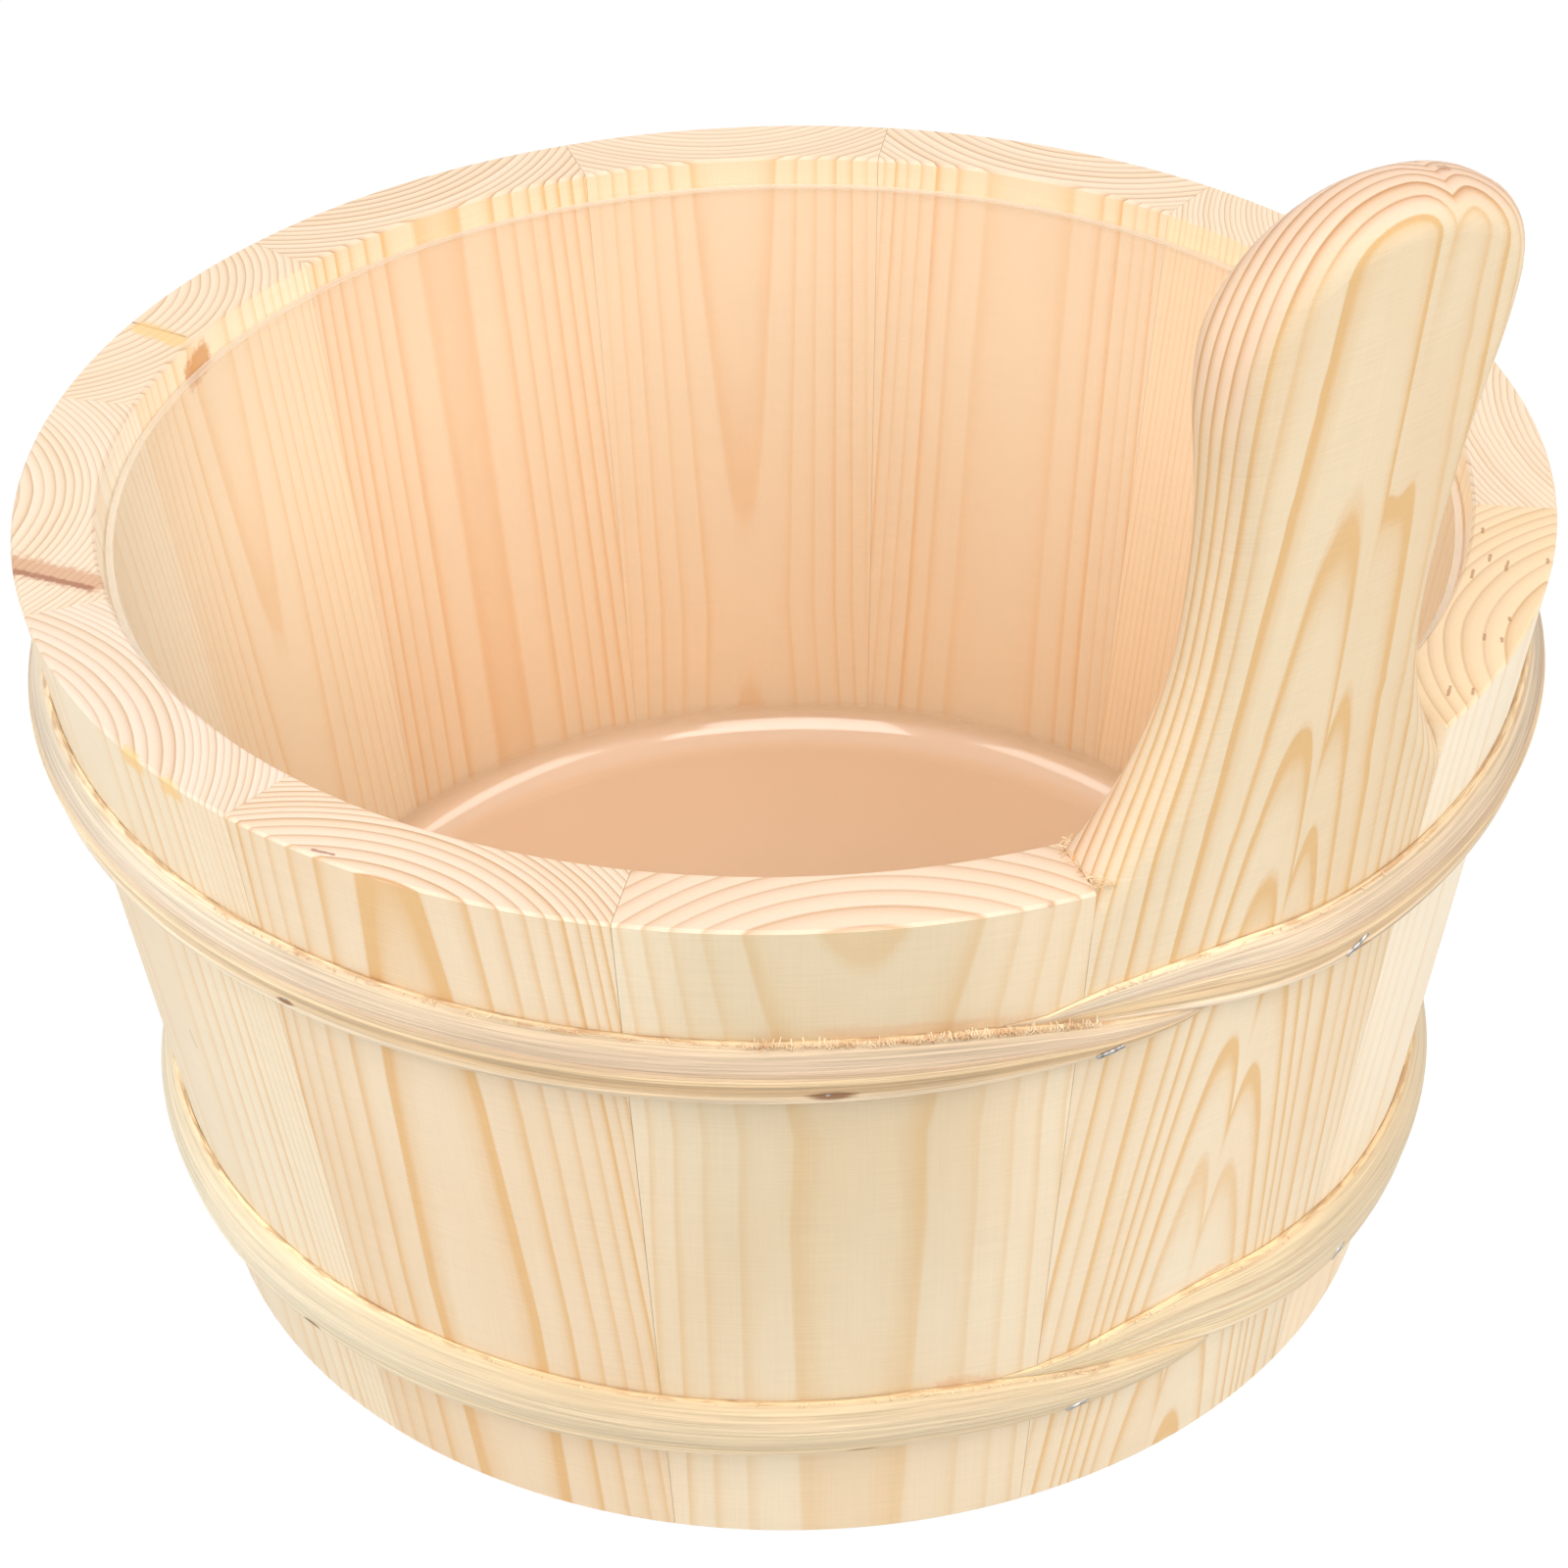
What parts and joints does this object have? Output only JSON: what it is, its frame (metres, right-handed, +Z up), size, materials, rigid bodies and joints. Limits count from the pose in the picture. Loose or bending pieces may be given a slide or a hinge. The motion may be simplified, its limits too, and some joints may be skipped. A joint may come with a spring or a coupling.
{
  "type": "wooden piggin",
  "caption": "Coopered pine pail with one long stave as its handle, lapped cane hoops stapled on, a boarded base in a groove and a clear plastic liner that lifts out.",
  "frame": {"origin": "centre of the circle that the staves' feet stand on, on the standing plane", "axes": "+Z up along the pail's axis; the handle stands out at about 54 degrees from +X towards -Y, so it is at the front right when looking along +Y"},
  "size_m": [0.2614, 0.2614, 0.257],
  "materials": {
    "pine": "sanded, bare",
    "cane": "split, bare",
    "wire": "drawn",
    "liner": "translucent, satin"
  },
  "bodies": {
    "pail": {"stave_01": "pine", "stave_02": "pine", "stave_03": "pine", "stave_04": "pine", "stave_05": "pine", "stave_06": "pine", "stave_07": "pine", "stave_08": "pine", "stave_09": "pine", "stave_10": "pine", "stave_11": "pine", "handle_stave": "pine", "base_board_front": "pine", "base_board_middle": "pine", "base_board_back": "pine", "upper_hoop": "cane", "lower_hoop": "cane", "upper_hoop_staples": "wire", "lower_hoop_staples": "wire"},
    "liner": {"plastic_liner": "liner"}
  },
  "joints": [
    {"name": "liner_lift", "type": "slide", "parent": "pail", "child": "liner", "axis": [0, 0, 1], "range_m": [0, 0.26]}
  ]
}
